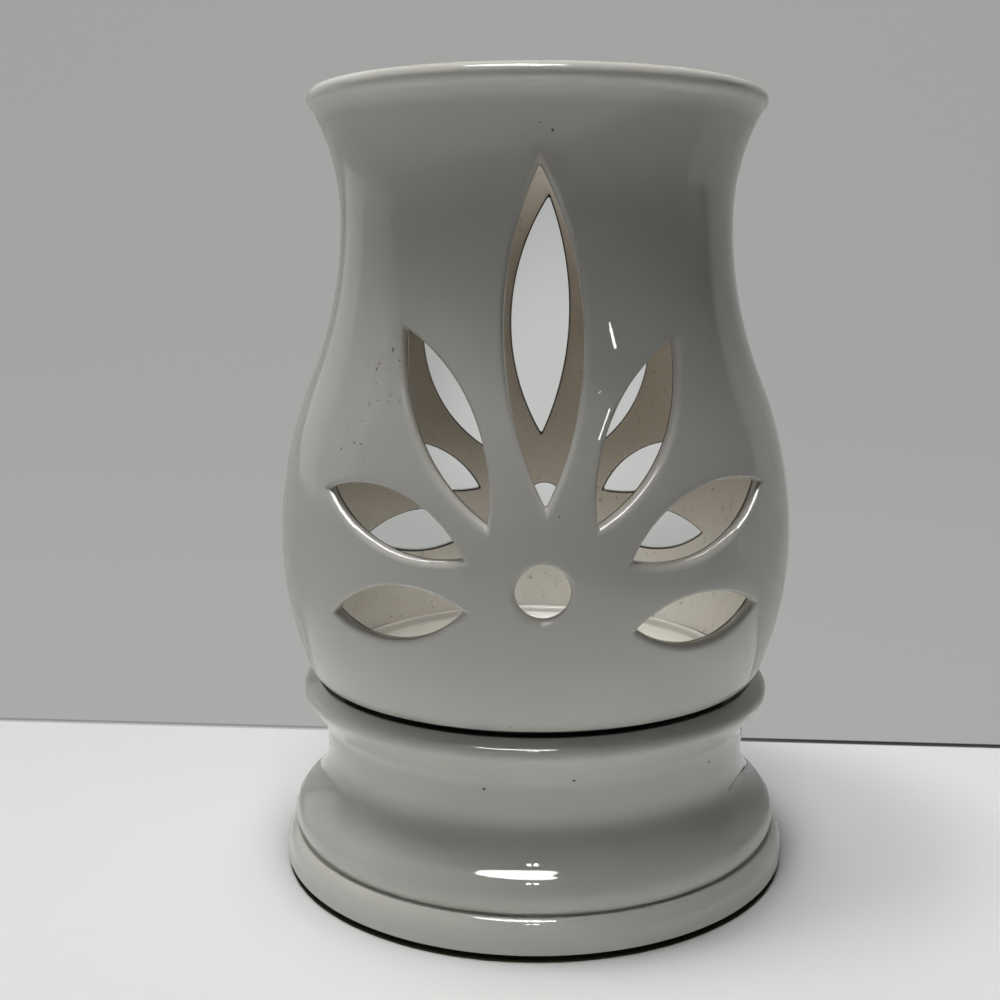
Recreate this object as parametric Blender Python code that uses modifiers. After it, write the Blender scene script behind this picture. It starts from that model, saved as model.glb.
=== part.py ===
# Candle lamp: a pierced glazed shade standing on a hollow turned pedestal, with a tealight in its well.
# Metres, +Z up. The origin is on the resting plane, on the lamp's axis; -Y is the front face.
import math

import bmesh
import bpy

# Fit between pieces that touch
SEAT_GAP = 0.0003           # left under every piece that stands on another

# Felt pad under the foot
PAD_THICKNESS = 0.0014
PAD_INSET = 0.0012          # how far its edge stays inside the foot

# Pedestal base: radii from the axis, heights above its own underside
FOOT_RADIUS = 0.0750
FOOT_EDGE_ROUND = 0.0009
FLANGE_ROUND = 0.0055
GROOVE_RADIUS = 0.0716
GROOVE_HEIGHT = 0.0090
TORUS_RADIUS = 0.0727
TORUS_HEIGHT = 0.0152
TORUS_ROUND = 0.0056
WAIST_RADIUS = 0.0617
WAIST_BOTTOM = 0.0257
WAIST_BOTTOM_ROUND = 0.0163
WAIST_TOP_RADIUS = 0.0629
WAIST_TOP = 0.0418
WAIST_TOP_ROUND = 0.0080
LIP_RADIUS = 0.0704
LIP_HEIGHT = 0.0516
LIP_ROUND = 0.0027
BASE_HEIGHT = 0.0548        # to the flat seat that carries the shade
BASE_WALL = 0.0052
BASE_FLOOR = 0.0050         # thickness of the plate under the seat
SEAT_RADIUS = 0.0646        # outer edge of the flat seat
RING_HEIGHT = 0.0024        # locating ring that the shade drops over
RING_WIDTH = 0.0034
RING_DRAFT = 0.0006         # how far each side of the ring leans in to its top
RING_ROUND = 0.0010

# Tealight well sunk in the middle of the base
WELL_CLEARANCE = 0.0015
WELL_DEPTH = 0.0148
WELL_WALL = 0.0045
WELL_MOUTH_ROUND = 0.0012
WELL_FLOOR_ROUND = 0.0008

# Shade: radii to its outer face, heights above its own foot
SHADE_HEIGHT = 0.1654
SHADE_WALL = 0.0048
SHADE_FOOT_RADIUS = 0.0655
SHADE_FOOT_HEIGHT = 0.0029  # where the belly curve begins above the turned-in foot
SHADE_FOOT_ROUND = 0.0014
SHADE_BORE_ROUND = 0.0006
BELLY_RADIUS = 0.0742
BELLY_HEIGHT = 0.0399
BELLY_LOWER_CURVE = 0.0966
BELLY_UPPER_CURVE = 0.1186
NECK_RADIUS = 0.0556
NECK_HEIGHT = 0.1316
FLARE_CURVE = 0.0604
LIP_BEAD = 0.0003           # how far the rolled rim swells past half the wall
RIM_INSET = 0.0006          # how far the roll's middle lies inside the middle of the wall
RIM_WRAP = 35.0             # degrees that the roll turns on past the wall's two faces
RIM_BLEND = 0.0010          # height in which each face runs into the roll
RING_CLEARANCE = 0.0008     # between the locating ring and the shade's bore

# Pierced lotus pattern, cut square to the front and to the back of the shade.
# Each leaf runs between two tips; a tip is (degrees round from the face's middle, height above the
# shade's foot), with degrees positive to the right of someone who looks at that face. The two bulges
# are how far the upper and the lower edge (left and right on the crown) bow out from the tip line.
SIDE_AIM = 11.0             # degrees that the knife turns aside for the leaves beside the crown
FRONT_LEAVES = (
    ("crown", 0, (0.7, 0.1425), (2.0, 0.0596), 0.0104, 0.0097),
    ("upper_left", -1, (-34.2, 0.1024), (-9.3, 0.0554), 0.0082, 0.0069),
    ("upper_right", 1, (35.8, 0.0997), (12.2, 0.0554), 0.0077, 0.0076),
    ("middle_left", -1, (-47.5, 0.0611), (-13.9, 0.0473), 0.0083, 0.0060),
    ("middle_right", 1, (55.0, 0.0619), (19.0, 0.0466), 0.0086, 0.0072),
    ("lower_left", -1, (-44.9, 0.0292), (-13.9, 0.0343), 0.0072, 0.0071),
    ("lower_right", 1, (51.7, 0.0305), (20.2, 0.0292), 0.0066, 0.0070),
)
BACK_LEAVES = (
    ("crown", 0, (-4.1, 0.1407), (-1.6, 0.0611), 0.0112, 0.0078),
    ("upper_left", -1, (-38.0, 0.1008), (-15.0, 0.0555), 0.0076, 0.0070),
    ("upper_right", 1, (38.5, 0.1012), (12.5, 0.0552), 0.0076, 0.0070),
    ("middle_left", -1, (-52.0, 0.0600), (-19.1, 0.0418), 0.0078, 0.0062),
    ("middle_right", 1, (50.5, 0.0590), (15.8, 0.0421), 0.0078, 0.0062),
    ("lower_left", -1, (-49.4, 0.0315), (-18.6, 0.0298), 0.0064, 0.0072),
    ("lower_right", 1, (50.4, 0.0302), (16.2, 0.0292), 0.0064, 0.0074),
)
HOLE_RADIUS = 0.0069
FRONT_HOLE = (1.5, 0.0393)
BACK_HOLE = (-2.5, 0.0366)

# Tealight: a pressed cup, a pressed wax slug, a wick and the tin that holds it upright
CUP_RADIUS = 0.0191
CUP_FLOOR_RADIUS = 0.0184
CUP_HEIGHT = 0.0160
CUP_SHEET = 0.0004
CUP_BEAD = 0.0006
CUP_FLOOR_ROUND = 0.0010
WAX_CLEARANCE = 0.0003
WAX_HEIGHT = 0.0126
WAX_EDGE_ROUND = 0.0009
WICK_RADIUS = 0.0008
WICK_ABOVE_WAX = 0.0085
WICK_LEAN = 0.0013          # how far its tip bends over
WICK_CLEARANCE = 0.0003
TIN_RADIUS = 0.0062
TIN_SHEET = 0.0004
TIN_NECK_HEIGHT = 0.0050

# Facets
TURN_STEPS = 56
SMALL_TURN_STEPS = 28
CORNER_STEPS = 3
HIDDEN_CORNER_STEPS = 2
SMALL_CORNER_STEPS = 1
WALL_RINGS = 14
RIM_STEPS = 8
BEAD_STEPS = 5
LEAF_STEPS = 8
HOLE_STEPS = 6

# Heights above the resting plane, stacked from the pad upwards
base_z = PAD_THICKNESS + SEAT_GAP
seat_z = base_z + BASE_HEIGHT
shade_z = seat_z + SEAT_GAP
well_z = seat_z - WELL_DEPTH
cup_z = well_z + SEAT_GAP
tin_z = cup_z + CUP_SHEET + WAX_CLEARANCE
wax_z = cup_z + CUP_SHEET + WAX_CLEARANCE
wax_top_z = wax_z + WAX_HEIGHT
well_radius = CUP_RADIUS + CUP_BEAD + WELL_CLEARANCE
ring_radius = SHADE_FOOT_RADIUS - SHADE_WALL - RING_CLEARANCE

COLOURS = {
    "glaze": ((0.62, 0.62, 0.60, 1.0), 0.12, 0.0),
    "felt": ((0.045, 0.038, 0.028, 1.0), 0.95, 0.0),
    "foil": ((0.80, 0.80, 0.81, 1.0), 0.30, 1.0),
    "wax": ((0.88, 0.86, 0.80, 1.0), 0.45, 0.0),
    "cotton": ((0.80, 0.77, 0.70, 1.0), 0.85, 0.0),
    "tin": ((0.62, 0.62, 0.62, 1.0), 0.35, 1.0),
}


def clear_scene():
    for old in list(bpy.data.objects):
        bpy.data.objects.remove(old)


def new_collection(name):
    collection = bpy.data.collections.new(name)
    bpy.context.scene.collection.children.link(collection)
    return collection


def new_material(name, colour_key):
    colour, roughness, metallic = COLOURS[colour_key]
    material = bpy.data.materials.new(name)
    material.use_nodes = True
    shader = material.node_tree.nodes["Principled BSDF"]
    shader.inputs["Base Color"].default_value = colour
    shader.inputs["Roughness"].default_value = roughness
    shader.inputs["Metallic"].default_value = metallic
    return material


def arc(centre, radius, start, end, steps):
    """Points of an arc in the profile plane, from one angle to another, both in degrees."""
    points = []
    for step in range(steps + 1):
        angle = math.radians(start + (end - start) * step / steps)
        points.append((centre[0] + radius * math.cos(angle), centre[1] + radius * math.sin(angle)))
    return points


def rounded(corners, steps=CORNER_STEPS):
    """A profile through (radius, height, rounding) corners, each rounded off by an arc."""
    points = [corners[0][:2]]
    for before, corner, after in zip(corners, corners[1:], corners[2:]):
        rounding = corner[2]
        if rounding <= 0.0:
            points.append(corner[:2])
            continue
        into = (before[0] - corner[0], before[1] - corner[1])
        away = (after[0] - corner[0], after[1] - corner[1])
        into_length = math.hypot(*into)
        away_length = math.hypot(*away)
        into = (into[0] / into_length, into[1] / into_length)
        away = (away[0] / away_length, away[1] / away_length)
        half = 0.5 * math.acos(max(-1.0, min(1.0, into[0] * away[0] + into[1] * away[1])))
        tangent = min(rounding / math.tan(half), 0.49 * into_length, 0.49 * away_length)
        rounding = tangent * math.tan(half)
        middle = (into[0] + away[0], into[1] + away[1])
        reach = rounding / math.sin(half) / math.hypot(*middle)
        centre = (corner[0] + middle[0] * reach, corner[1] + middle[1] * reach)
        first = (corner[0] + into[0] * tangent, corner[1] + into[1] * tangent)
        last = (corner[0] + away[0] * tangent, corner[1] + away[1] * tangent)
        start = math.degrees(math.atan2(first[1] - centre[1], first[0] - centre[0]))
        end = math.degrees(math.atan2(last[1] - centre[1], last[0] - centre[0]))
        sweep = (end - start + 180.0) % 360.0 - 180.0
        points.extend(arc(centre, rounding, start, start + sweep, steps))
    points.append(corners[-1][:2])
    return points


def turned(name, profile, height, material, collection, steps=TURN_STEPS, ring=False):
    """A solid of revolution; its profile runs down the outer side, from top to bottom."""
    mesh = bpy.data.meshes.new(name)
    edges = [(index, index + 1) for index in range(len(profile) - 1)]
    if ring:
        edges.append((len(profile) - 1, 0))
    mesh.from_pydata([(radius, 0.0, z) for radius, z in profile], edges, [])
    piece = bpy.data.objects.new(name, mesh)
    piece.location.z = height
    collection.objects.link(piece)
    screw = piece.modifiers.new("turn", "SCREW")
    screw.steps = steps
    screw.render_steps = steps
    screw.use_merge_vertices = True
    screw.merge_threshold = 0.00001
    screw.use_smooth_shade = True
    mesh.materials.append(material)
    return piece


def base_profile():
    """Outer mouldings from the seat down to the foot, then up the inside of the hollow casting."""
    outside = rounded((
        (ring_radius, BASE_HEIGHT, 0.0),
        (SEAT_RADIUS, BASE_HEIGHT, 0.0),
        (LIP_RADIUS, LIP_HEIGHT, LIP_ROUND),
        (WAIST_TOP_RADIUS, WAIST_TOP, WAIST_TOP_ROUND),
        (WAIST_RADIUS, WAIST_BOTTOM, WAIST_BOTTOM_ROUND),
        (TORUS_RADIUS, TORUS_HEIGHT, TORUS_ROUND),
        (GROOVE_RADIUS, GROOVE_HEIGHT, 0.0),
        (FOOT_RADIUS, GROOVE_HEIGHT, FLANGE_ROUND),
        (FOOT_RADIUS, 0.0, FOOT_EDGE_ROUND),
        (FOOT_RADIUS - BASE_WALL, 0.0, 0.0),
    ))
    plate_underside = BASE_HEIGHT - BASE_FLOOR
    well_outside = well_radius + WELL_WALL
    well_underside = BASE_HEIGHT - WELL_DEPTH - WELL_WALL
    inside = rounded((
        (FOOT_RADIUS - BASE_WALL, 0.0, 0.0),
        (GROOVE_RADIUS - BASE_WALL, GROOVE_HEIGHT, 0.0),
        (TORUS_RADIUS - BASE_WALL, TORUS_HEIGHT, TORUS_ROUND - BASE_WALL * 0.5),
        (WAIST_RADIUS - BASE_WALL, WAIST_BOTTOM, WAIST_BOTTOM_ROUND),
        (WAIST_TOP_RADIUS - BASE_WALL, plate_underside, WAIST_TOP_ROUND * 0.5),
        (well_outside, plate_underside, WELL_WALL),
        (well_outside, well_underside, WELL_WALL),
        (0.0, well_underside, 0.0),
    ), HIDDEN_CORNER_STEPS)
    well_floor = BASE_HEIGHT - WELL_DEPTH
    ring_inner = ring_radius - RING_WIDTH
    top = rounded((
        (0.0, well_floor, 0.0),
        (well_radius, well_floor, WELL_FLOOR_ROUND),
        (well_radius, BASE_HEIGHT, WELL_MOUTH_ROUND),
        (ring_inner, BASE_HEIGHT, RING_ROUND),
        (ring_inner + RING_DRAFT, BASE_HEIGHT + RING_HEIGHT, RING_ROUND),
        (ring_radius - RING_DRAFT, BASE_HEIGHT + RING_HEIGHT, RING_ROUND),
        (ring_radius, BASE_HEIGHT, 0.0),
    ), SMALL_CORNER_STEPS)
    return top[:-1] + outside + inside[1:]


def shade_radius(height):
    """Outer radius of the shade at a height above its foot, from three tangent arcs and the flare."""
    spread = BELLY_RADIUS - NECK_RADIUS
    rise = NECK_HEIGHT - BELLY_HEIGHT
    both_curves = (spread * spread + rise * rise) / (2.0 * spread)
    neck_curve = both_curves - BELLY_UPPER_CURVE
    turning = BELLY_HEIGHT + rise * BELLY_UPPER_CURVE / both_curves
    if height < BELLY_HEIGHT:
        drop = BELLY_HEIGHT - height
        return BELLY_RADIUS - BELLY_LOWER_CURVE + math.sqrt(BELLY_LOWER_CURVE ** 2 - drop ** 2)
    if height < turning:
        drop = height - BELLY_HEIGHT
        return BELLY_RADIUS - BELLY_UPPER_CURVE + math.sqrt(BELLY_UPPER_CURVE ** 2 - drop ** 2)
    curve = neck_curve if height < NECK_HEIGHT else FLARE_CURVE
    drop = height - NECK_HEIGHT
    return NECK_RADIUS + curve - math.sqrt(curve ** 2 - drop ** 2)


def shade_wall_point(height, inward):
    """A point of the wall, moved inward along the normal of the outer face."""
    step = 0.00005
    slope = (shade_radius(height + step) - shade_radius(height - step)) / (2.0 * step)
    length = math.hypot(1.0, slope)
    return shade_radius(height) - inward / length, height + inward * slope / length


def shade_profile():
    """Rolled rim, down the outer face to the turned-in foot, and up the bore again."""
    rim_round = 0.5 * SHADE_WALL + LIP_BEAD
    rim_height = SHADE_HEIGHT - rim_round
    wall_middle = shade_wall_point(rim_height, 0.5 * SHADE_WALL)
    rim_centre = (wall_middle[0] - RIM_INSET, rim_height)
    slope = math.degrees(math.asin((rim_height - NECK_HEIGHT) / FLARE_CURVE))
    rim = arc(rim_centre, rim_round, 180.0 + RIM_WRAP - slope, -RIM_WRAP - slope, RIM_STEPS)
    low = SHADE_FOOT_HEIGHT
    high = rim[-1][1] - RIM_BLEND
    outer = []
    for ring in range(WALL_RINGS + 1):
        outer.append(shade_wall_point(high + (low - high) * ring / WALL_RINGS, 0.0))
    inner = []
    for ring in range(WALL_RINGS + 1):
        inner.append(shade_wall_point(low + (high - low) * ring / WALL_RINGS, SHADE_WALL))
    foot = rounded((
        outer[-1],
        (SHADE_FOOT_RADIUS, 0.0, SHADE_FOOT_ROUND),
        (SHADE_FOOT_RADIUS - SHADE_WALL, 0.0, SHADE_BORE_ROUND),
        inner[0],
    ), HIDDEN_CORNER_STEPS)
    return rim + outer[:-1] + foot + inner[1:]


def leaf_curve(name, aim, first_tip, second_tip, upper_bulge, lower_bulge):
    """A pointed leaf in the plane that faces the knife: two arcs that meet at two tips."""
    tips = []
    for degrees, height in (first_tip, second_tip):
        across = shade_radius(height) * math.sin(math.radians(degrees - aim))
        tips.append((across, height))
    if tips[0][0] > tips[1][0]:
        tips.reverse()
    (left_x, left_z), (right_x, right_z) = tips
    chord = (right_x - left_x, right_z - left_z)
    length = math.hypot(*chord)
    along = (chord[0] / length, chord[1] / length)
    above = (-along[1], along[0])

    def handle(bulge, direction, side):
        turn = 2.0 * math.atan(2.0 * bulge / length)
        radius = length / (2.0 * math.sin(turn))
        reach = 4.0 / 3.0 * math.tan(0.5 * turn) * radius
        forward = reach * math.cos(turn) * direction
        sideways = reach * math.sin(turn) * side
        return along[0] * forward + above[0] * sideways, along[1] * forward + above[1] * sideways

    curve = bpy.data.curves.new(name, "CURVE")
    curve.dimensions = "2D"
    curve.fill_mode = "BOTH"
    curve.resolution_u = LEAF_STEPS
    spline = curve.splines.new("BEZIER")
    spline.bezier_points.add(1)
    spline.use_cyclic_u = True
    for point, (x, z), direction, into, away in (
        (spline.bezier_points[0], tips[0], 1.0, lower_bulge, upper_bulge),
        (spline.bezier_points[1], tips[1], -1.0, upper_bulge, lower_bulge),
    ):
        point.handle_left_type = "FREE"
        point.handle_right_type = "FREE"
        point.co = (x, z, 0.0)
        offset = handle(away, direction, direction)
        point.handle_right = (x + offset[0], z + offset[1], 0.0)
        offset = handle(into, direction, -direction)
        point.handle_left = (x + offset[0], z + offset[1], 0.0)
    return curve


def round_curve(name, degrees, height):
    """The round hole under the crown leaf."""
    across = shade_radius(height) * math.sin(math.radians(degrees))
    curve = bpy.data.curves.new(name, "CURVE")
    curve.dimensions = "2D"
    curve.fill_mode = "BOTH"
    curve.resolution_u = HOLE_STEPS
    spline = curve.splines.new("BEZIER")
    spline.bezier_points.add(3)
    spline.use_cyclic_u = True
    for quarter, point in enumerate(spline.bezier_points):
        angle = -0.5 * math.pi * quarter
        x = across + HOLE_RADIUS * math.cos(angle)
        point.co = (x, height + HOLE_RADIUS * math.sin(angle), 0.0)
        point.handle_left_type = "AUTO"
        point.handle_right_type = "AUTO"
    return curve


def solid_mesh(guide):
    """The closed mesh of a curve object, its end faces welded to its sides."""
    bpy.context.view_layer.update()
    evaluated = guide.evaluated_get(bpy.context.evaluated_depsgraph_get())
    mesh = bpy.data.meshes.new_from_object(evaluated)
    build = bmesh.new()
    build.from_mesh(mesh)
    bmesh.ops.remove_doubles(build, verts=build.verts, dist=0.000001)
    bmesh.ops.recalc_face_normals(build, faces=build.faces)
    build.to_mesh(mesh)
    build.free()
    return mesh


def knife(curve, turn, collection):
    """The outline as a bar that runs out from the shade's middle through one side of its wall."""
    near = 0.25 * NECK_RADIUS
    far = BELLY_RADIUS + SHADE_WALL
    curve.extrude = 0.5 * (far - near)
    guide = bpy.data.objects.new(curve.name + "_outline", curve)
    collection.objects.link(guide)
    middle = 0.5 * (far + near)
    guide.rotation_euler = (math.radians(90.0), 0.0, math.radians(turn))
    guide.location = (
        middle * math.sin(math.radians(turn)),
        -middle * math.cos(math.radians(turn)),
        shade_z,
    )
    mesh = solid_mesh(guide)
    cutter = bpy.data.objects.new(curve.name, mesh)
    cutter.matrix_world = guide.matrix_world.copy()
    collection.objects.link(cutter)
    bpy.data.objects.remove(guide)
    cutter.hide_render = True
    cutter.display_type = "WIRE"
    return cutter


def make_knives(collection):
    faces = (("front", 0.0, FRONT_LEAVES, FRONT_HOLE), ("back", 180.0, BACK_LEAVES, BACK_HOLE))
    for face, turn, leaves, hole in faces:
        for name, side, first_tip, second_tip, upper_bulge, lower_bulge in leaves:
            aim = side * SIDE_AIM
            outline = leaf_curve("cut_" + face + "_" + name, aim, first_tip, second_tip,
                                 upper_bulge, lower_bulge)
            knife(outline, turn + aim, collection)
        knife(round_curve("cut_" + face + "_hole", *hole), turn, collection)


def make_shade(parts, cutters):
    shade = turned("shade", shade_profile(), shade_z, new_material("shade_glaze", "glaze"),
                   parts, ring=True)
    pierce = shade.modifiers.new("pierce", "BOOLEAN")
    pierce.operation = "DIFFERENCE"
    pierce.solver = "EXACT"
    pierce.operand_type = "COLLECTION"
    pierce.collection = cutters
    return shade


def make_base(parts):
    return turned("base", base_profile(), base_z, new_material("base_glaze", "glaze"), parts)


def make_pad(parts):
    radius = FOOT_RADIUS - PAD_INSET
    profile = ((0.0, PAD_THICKNESS), (radius, PAD_THICKNESS), (radius, 0.0), (0.0, 0.0))
    return turned("base_pad", profile, 0.0, new_material("pad_felt", "felt"), parts)


def cup_profile():
    bead = arc((CUP_RADIUS, CUP_HEIGHT - CUP_BEAD), CUP_BEAD, 180.0, -90.0, BEAD_STEPS)
    outside = rounded((
        bead[-1],
        (CUP_RADIUS, CUP_HEIGHT - 2.0 * CUP_BEAD, 0.0),
        (CUP_FLOOR_RADIUS, 0.0, CUP_FLOOR_ROUND),
        (0.0, 0.0, 0.0),
    ), HIDDEN_CORNER_STEPS)
    inside = rounded((
        (0.0, CUP_SHEET, 0.0),
        (CUP_FLOOR_RADIUS - CUP_SHEET, CUP_SHEET, CUP_FLOOR_ROUND - CUP_SHEET),
        (CUP_RADIUS - CUP_SHEET, CUP_HEIGHT - 2.0 * CUP_BEAD, 0.0),
        (CUP_RADIUS - CUP_BEAD, CUP_HEIGHT - CUP_BEAD, 0.0),
    ), HIDDEN_CORNER_STEPS)
    return inside[:-1] + bead + outside[1:]


def make_cup(parts):
    return turned("tealight_cup", cup_profile(), cup_z, new_material("cup_foil", "foil"), parts,
                  steps=SMALL_TURN_STEPS)


def wax_profile():
    taper = (CUP_RADIUS - CUP_FLOOR_RADIUS) / CUP_HEIGHT
    foot = CUP_FLOOR_RADIUS - CUP_SHEET - WAX_CLEARANCE
    side = foot + taper * WAX_HEIGHT
    bore = WICK_RADIUS + WICK_CLEARANCE
    neck_bore = bore + TIN_SHEET + WICK_CLEARANCE
    tin_room = TIN_RADIUS + WAX_CLEARANCE
    tin_top = TIN_SHEET + WAX_CLEARANCE
    neck_top = TIN_NECK_HEIGHT + WAX_CLEARANCE
    return rounded((
        (bore, WAX_HEIGHT, 0.0),
        (side, WAX_HEIGHT, WAX_EDGE_ROUND),
        (foot, 0.0, WAX_EDGE_ROUND),
        (tin_room, 0.0, 0.0),
        (tin_room, tin_top, 0.0),
        (neck_bore, tin_top, 0.0),
        (neck_bore, neck_top, 0.0),
        (bore, neck_top, 0.0),
        (bore, WAX_HEIGHT, 0.0),
    ), HIDDEN_CORNER_STEPS)[:-1]


def make_wax(parts):
    return turned("tealight_wax", wax_profile(), wax_z, new_material("candle_wax", "wax"), parts,
                  steps=SMALL_TURN_STEPS, ring=True)


def make_tin(parts):
    bore = WICK_RADIUS + WICK_CLEARANCE
    neck = bore + TIN_SHEET
    profile = (
        (0.0, TIN_SHEET),
        (bore, TIN_SHEET),
        (bore, TIN_NECK_HEIGHT),
        (neck, TIN_NECK_HEIGHT),
        (neck, TIN_SHEET),
        (TIN_RADIUS, TIN_SHEET),
        (TIN_RADIUS, 0.0),
        (0.0, 0.0),
    )
    return turned("wick_holder", profile, tin_z, new_material("holder_tin", "tin"), parts,
                  steps=SMALL_TURN_STEPS)


def make_wick(parts):
    """A cotton cord that stands in the tin and leans a little at its free end."""
    bottom = tin_z + TIN_SHEET + SEAT_GAP
    top = wax_top_z + WICK_ABOVE_WAX
    curve = bpy.data.curves.new("wick", "CURVE")
    curve.dimensions = "3D"
    curve.bevel_depth = WICK_RADIUS
    curve.bevel_resolution = 2
    curve.use_fill_caps = True
    spline = curve.splines.new("POLY")
    bends = 6
    spline.points.add(bends + 1)
    spline.points[0].co = (0.0, 0.0, bottom, 1.0)
    for bend in range(bends + 1):
        share = bend / bends
        height = wax_top_z + (top - wax_top_z) * share
        spline.points[bend + 1].co = (WICK_LEAN * share ** 2, 0.0, height, 1.0)
    guide = bpy.data.objects.new("wick_path", curve)
    parts.objects.link(guide)
    wick = bpy.data.objects.new("wick", solid_mesh(guide))
    bpy.data.objects.remove(guide)
    wick.data.materials.append(new_material("wick_cotton", "cotton"))
    parts.objects.link(wick)
    return wick


def main():
    clear_scene()
    parts = new_collection("candle_lamp")
    cutters = new_collection("candle_lamp_cutters")
    make_knives(cutters)
    make_pad(parts)
    make_base(parts)
    make_shade(parts, cutters)
    make_cup(parts)
    make_tin(parts)
    make_wax(parts)
    make_wick(parts)


main()
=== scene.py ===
# Candle lamp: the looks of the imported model. Metres, +Z up, -Y is the face that the photograph shows.
import math

import bmesh
import bpy
from mathutils import Matrix, Vector, noise


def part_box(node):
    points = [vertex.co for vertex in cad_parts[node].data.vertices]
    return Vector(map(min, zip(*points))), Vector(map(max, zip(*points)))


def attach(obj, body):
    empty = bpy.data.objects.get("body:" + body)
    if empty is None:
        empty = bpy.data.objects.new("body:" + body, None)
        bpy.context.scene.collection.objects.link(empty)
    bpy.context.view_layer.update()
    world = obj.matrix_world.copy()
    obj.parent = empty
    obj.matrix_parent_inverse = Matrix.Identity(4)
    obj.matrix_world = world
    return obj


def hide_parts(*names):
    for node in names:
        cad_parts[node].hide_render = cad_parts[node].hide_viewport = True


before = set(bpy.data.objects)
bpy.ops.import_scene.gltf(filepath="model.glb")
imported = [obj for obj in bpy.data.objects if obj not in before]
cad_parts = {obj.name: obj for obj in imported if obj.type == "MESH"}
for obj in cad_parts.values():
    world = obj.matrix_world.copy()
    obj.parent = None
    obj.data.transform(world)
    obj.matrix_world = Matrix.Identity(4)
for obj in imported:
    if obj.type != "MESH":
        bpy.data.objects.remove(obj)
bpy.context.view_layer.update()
scene = bpy.context.scene
scene.view_settings.view_transform = "Standard"
print("frame loaded:", ", ".join(sorted(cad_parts)))

# Camera

cameraPlace = {
    "position": (0.0, -0.37998, 0.17355),
    "lookDown": 10.013,     # degrees under the horizon
    "turn": 0.525,          # degrees to the left
    "roll": 0.158,
    "lens": 46.8,
    "shift": -0.0236,
}


def makeCamera(place):
    data = bpy.data.cameras.new("photoCamera")
    data.lens = place["lens"]
    data.sensor_width = 36.0
    data.shift_x = place["shift"]
    data.clip_start = 0.02
    data.clip_end = 20.0
    camera = bpy.data.objects.new("photoCamera", data)
    scene.collection.objects.link(camera)
    turn = Matrix.Rotation(math.radians(place["turn"]), 4, "Z")
    tilt = Matrix.Rotation(math.radians(90.0 - place["lookDown"]), 4, "X")
    roll = Matrix.Rotation(math.radians(place["roll"]), 4, "Z")
    camera.matrix_world = Matrix.Translation(place["position"]) @ turn @ tilt @ roll
    scene.camera = camera


makeCamera(cameraPlace)
print("camera placed")

# Tools for profiles, meshes and nodes


def arcPoints(centre, radius, start, end, steps):
    points = []
    for step in range(steps + 1):
        angle = math.radians(start + (end - start) * step / steps)
        points.append((centre[0] + radius * math.cos(angle), centre[1] + radius * math.sin(angle)))
    return points


def roundedProfile(corners, steps):
    # corners are (radius, height, rounding); each one is taken off by an arc
    points = [corners[0][:2]]
    for before, corner, after in zip(corners, corners[1:], corners[2:]):
        if corner[2] <= 0.0:
            points.append(corner[:2])
            continue
        here = Vector(corner[:2])
        into = Vector(before[:2]) - here
        away = Vector(after[:2]) - here
        half = 0.5 * into.angle(away)
        tangent = min(corner[2] / math.tan(half), 0.49 * into.length, 0.49 * away.length)
        rounding = tangent * math.tan(half)
        into.normalize()
        away.normalize()
        centre = here + (into + away).normalized() * rounding / math.sin(half)
        first = here + into * tangent - centre
        last = here + away * tangent - centre
        start = math.degrees(math.atan2(first.y, first.x))
        sweep = (math.degrees(math.atan2(last.y, last.x)) - start + 180.0) % 360.0 - 180.0
        points.extend(arcPoints(centre, rounding, start, start + sweep, steps))
    points.append(corners[-1][:2])
    return points


def spunMesh(profile, height, steps, ring=False):
    # profile is (radius, height) down the outside and up the inside
    build = bmesh.new()
    verts = [build.verts.new((radius, 0.0, z + height)) for radius, z in profile]
    edges = [build.edges.new(pair) for pair in zip(verts, verts[1:])]
    if ring:
        edges.append(build.edges.new((verts[-1], verts[0])))
    bmesh.ops.spin(build, geom=verts + edges, cent=(0.0, 0.0, 0.0), axis=(0.0, 0.0, 1.0),
                   angle=2.0 * math.pi, steps=steps, use_merge=True)
    bmesh.ops.remove_doubles(build, verts=build.verts, dist=0.000001)
    bmesh.ops.recalc_face_normals(build, faces=build.faces)
    return build


def finishPiece(name, build, material, body, slotName, *nodes):
    mesh = bpy.data.meshes.new(name)
    build.to_mesh(mesh)
    build.free()
    for face in mesh.polygons:
        face.use_smooth = True
    mesh.materials.append(material)
    piece = bpy.data.objects.new(name, mesh)
    scene.collection.objects.link(piece)
    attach(piece, body)
    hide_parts(*nodes)
    print("made", name, "with", len(mesh.polygons), "faces")


def setInputs(tree, node, values):
    for key, value in values.items():
        if isinstance(value, bpy.types.NodeSocket):
            tree.links.new(value, node.inputs[key])
        else:
            node.inputs[key].default_value = value


def addNode(tree, kind, values=None, **settings):
    node = tree.nodes.new("ShaderNode" + kind)
    for key, value in settings.items():
        setattr(node, key, value)
    setInputs(tree, node, values or {})
    return node


def newMaterial(name):
    material = bpy.data.materials.new(name)
    material.use_nodes = True
    tree = material.node_tree
    return material, tree, tree.nodes["Principled BSDF"], addNode(tree, "TexCoord").outputs["Object"]


def heightOf(tree, place):
    return addNode(tree, "SeparateXYZ", {0: place}).outputs["Z"]


def mixColours(tree, factor, first, second):
    return addNode(tree, "Mix", {0: factor, 6: first, 7: second}, data_type="RGBA").outputs[2]


def calculate(tree, operation, first, second=0.0, third=0.0):
    return addNode(tree, "Math", {0: first, 1: second, 2: third}, operation=operation).outputs[0]


def fade(tree, value, start, end, low=0.0, high=1.0):
    # a smooth step from low to high while the value goes from start to end
    return addNode(tree, "MapRange", {"Value": value, "From Min": start, "From Max": end,
                                      "To Min": low, "To Max": high},
                   interpolation_type="SMOOTHSTEP").outputs[0]


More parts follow.
